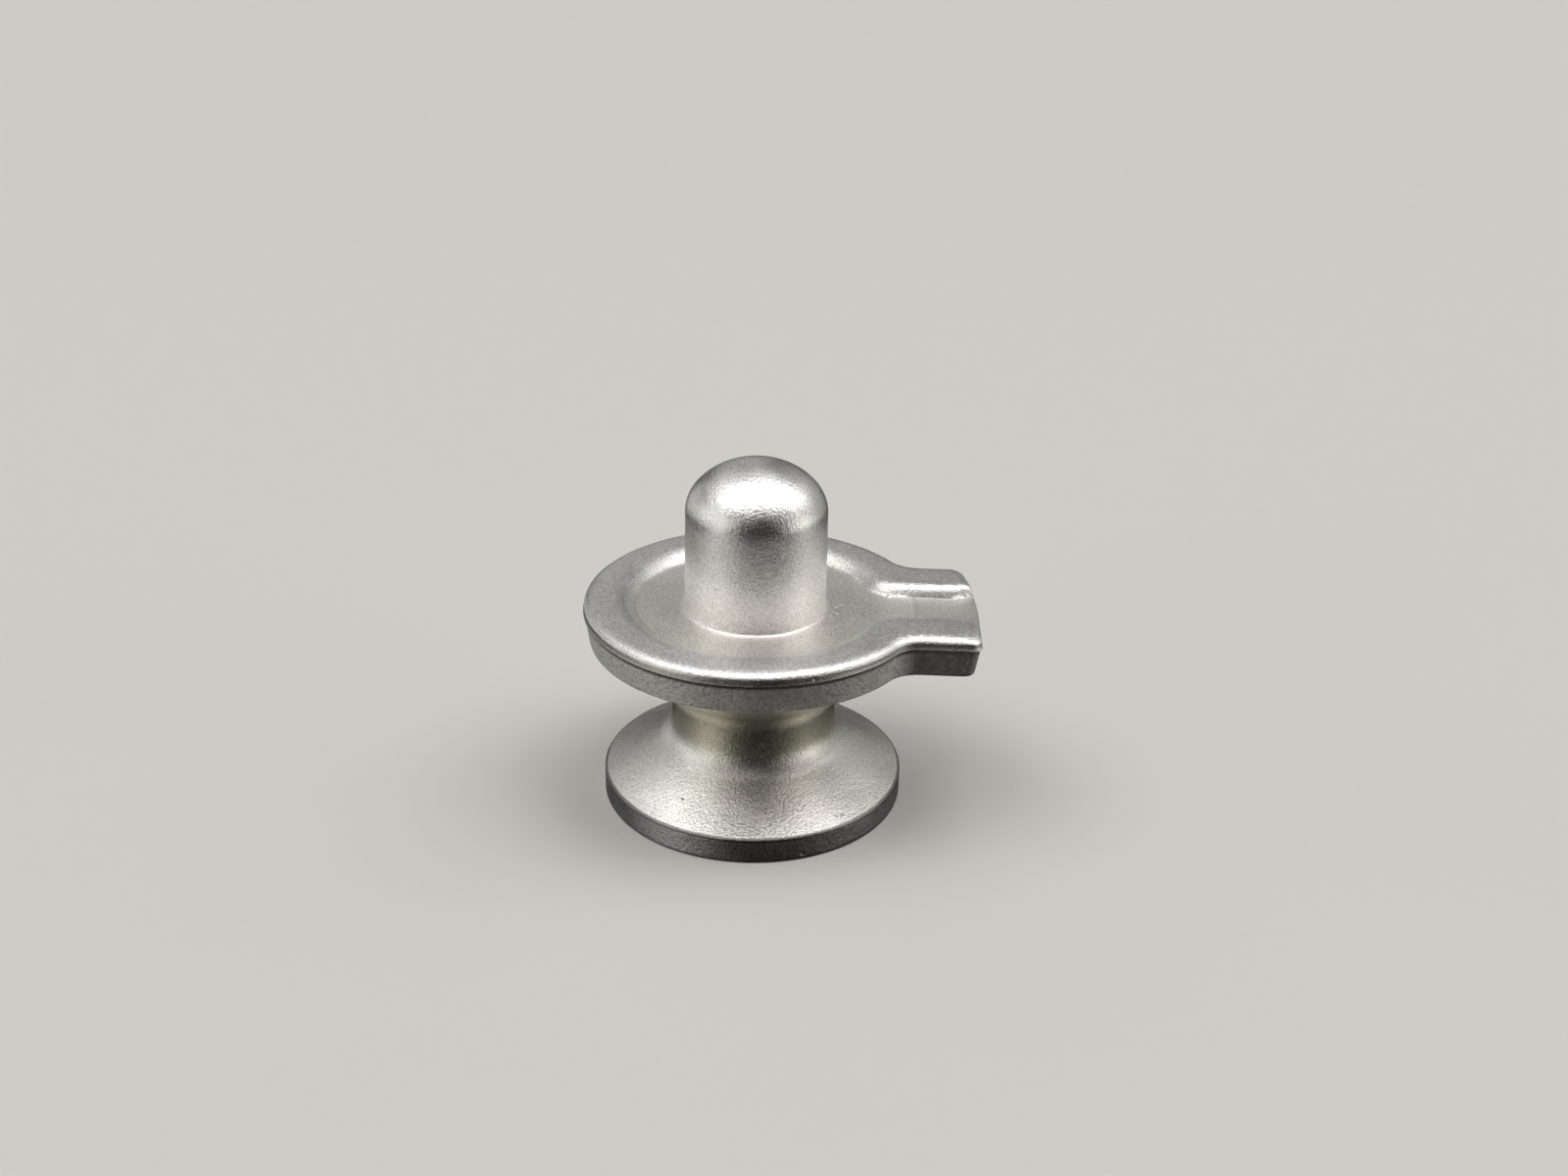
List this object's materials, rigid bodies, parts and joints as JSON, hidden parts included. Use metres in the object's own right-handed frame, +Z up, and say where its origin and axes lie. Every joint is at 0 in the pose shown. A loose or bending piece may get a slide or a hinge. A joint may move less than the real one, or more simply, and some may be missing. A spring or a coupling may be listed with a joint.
{
  "type": "shiva lingam figure",
  "caption": "Small cast metal shiva lingam: a domed shaft stands in a round basin plate with an open spout, carried on a waisted foot.",
  "frame": {"origin": "centre of the foot's flat underside, on the axis of foot, plate and shaft", "axes": "+Z up along the axis of the turned shapes, +X along the spout towards its open mouth, +Y to the left when facing along the spout"},
  "size_m": [0.0476, 0.0412, 0.0435],
  "materials": {
    "cast_metal": "pale silver-white cast metal, finely frosted, softly shining"
  },
  "bodies": {
    "root": {"shiva_lingam": "cast_metal"}
  },
  "joints": []
}
